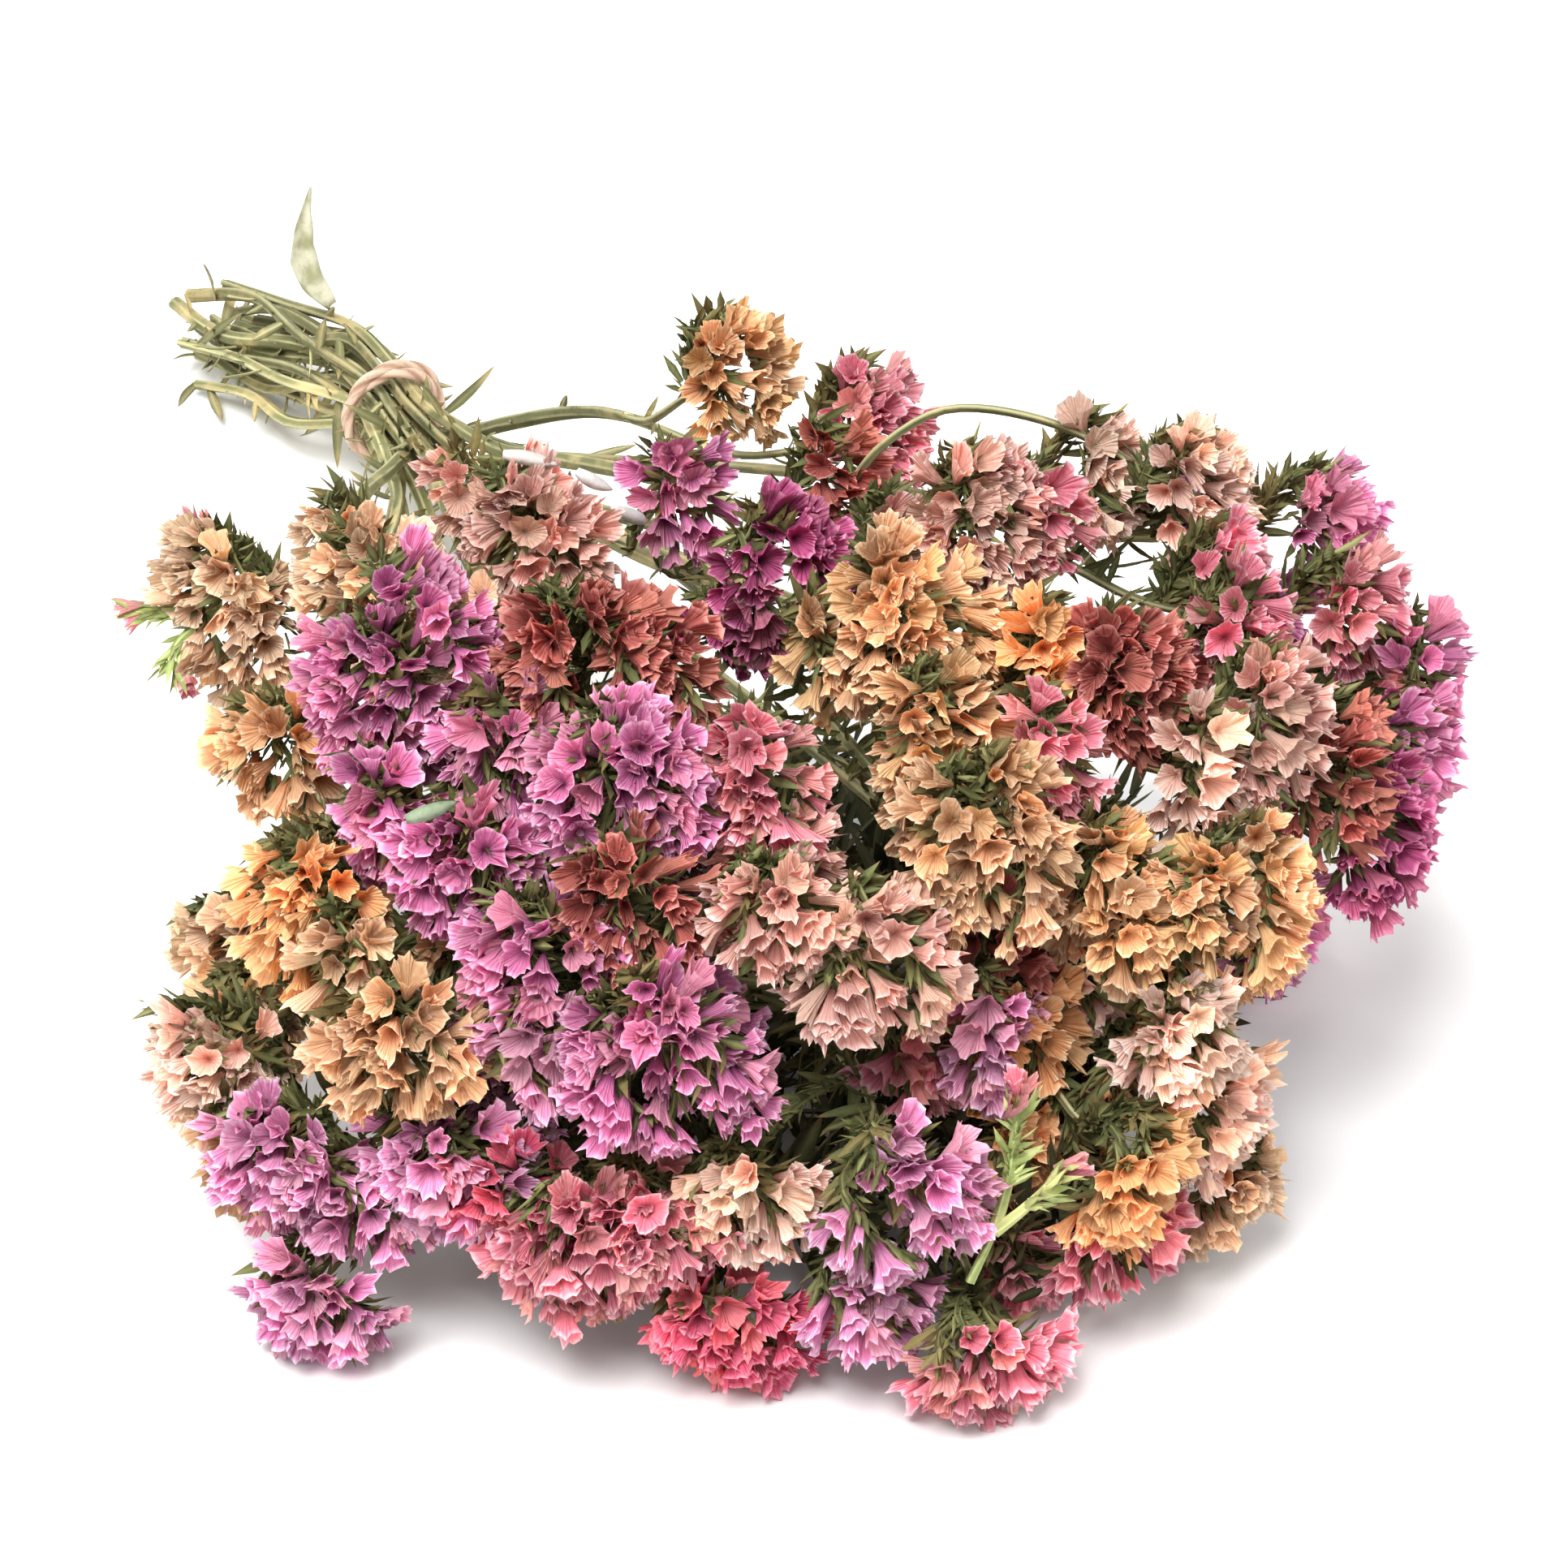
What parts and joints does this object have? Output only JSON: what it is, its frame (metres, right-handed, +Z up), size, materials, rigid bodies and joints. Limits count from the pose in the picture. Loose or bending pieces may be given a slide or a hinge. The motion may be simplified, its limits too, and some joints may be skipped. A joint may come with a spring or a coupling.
{
  "type": "bunch of dried statice",
  "caption": "Tied bunch of dried statice lying on its side: forked dry stems held by an elastic tie, with papery pleated flower heads in mixed pinks, purples and apricots.",
  "frame": {"origin": "middle of the underside of the bunch's box, on the surface that it lies on", "axes": "+Z up, +Y along the stems towards the cut ends, so the flower heads lie towards -Y; +X is to the right when looking along +Y"},
  "size_m": [0.3362, 0.5556, 0.1721],
  "materials": {
    "tie_rubber": "matte",
    "stem_green": "matte",
    "dry_leaf": "matte",
    "calyx_apricot": "matte",
    "calyx_blush": "matte",
    "calyx_cream": "matte",
    "calyx_crimson": "matte",
    "calyx_magenta": "matte",
    "calyx_mauve": "matte",
    "calyx_orange": "matte",
    "calyx_peach": "matte",
    "calyx_pink": "matte",
    "calyx_purple": "matte",
    "calyx_rose": "matte",
    "calyx_salmon": "matte"
  },
  "bodies": {
    "root": {"tie_band": "tie_rubber", "stem_01": "stem_green", "stem_02": "stem_green", "stem_03": "stem_green", "stem_04": "stem_green", "stem_05": "stem_green", "stem_06": "stem_green", "stem_07": "stem_green", "stem_08": "stem_green", "stem_09": "stem_green", "stem_10": "stem_green", "stem_11": "stem_green", "stem_12": "stem_green", "stem_13": "stem_green", "stem_14": "stem_green", "stem_15": "stem_green", "stem_16": "stem_green", "stem_17": "stem_green", "flower_head_01a": "calyx_apricot", "flower_head_01b": "calyx_pink", "flower_head_02a": "calyx_blush", "flower_head_02b": "calyx_magenta", "flower_head_03a": "calyx_blush", "flower_head_03b": "calyx_rose", "flower_head_04a": "calyx_salmon", "flower_head_04b": "calyx_purple", "flower_head_04c": "calyx_pink", "flower_head_05a": "calyx_pink", "flower_head_05b": "calyx_mauve", "flower_head_06a": "calyx_blush", "flower_head_06b": "calyx_magenta", "flower_head_06c": "calyx_purple", "flower_head_07a": "calyx_apricot", "flower_head_07b": "calyx_cream", "flower_head_08a": "calyx_apricot", "flower_head_08b": "calyx_salmon", "flower_head_08c": "calyx_orange", "flower_head_09a": "calyx_peach", "flower_head_09b": "calyx_rose", "flower_head_10a": "calyx_mauve", "flower_head_10b": "calyx_pink", "flower_head_11a": "calyx_crimson", "flower_head_11b": "calyx_pink", "flower_head_11c": "calyx_blush", "flower_head_12a": "calyx_purple", "flower_head_12b": "calyx_blush", "flower_head_13a": "calyx_purple", "flower_head_13b": "calyx_rose", "flower_head_13c": "calyx_purple", "flower_head_14a": "calyx_purple", "flower_head_14b": "calyx_orange", "flower_head_14c": "calyx_cream", "flower_head_15a": "calyx_peach", "flower_head_15b": "calyx_peach", "flower_head_16a": "calyx_salmon", "flower_head_16b": "calyx_peach", "flower_head_17a": "calyx_mauve", "flower_head_17b": "calyx_mauve", "flower_head_17c": "calyx_mauve", "dry_leaf": "dry_leaf"}
  },
  "joints": []
}
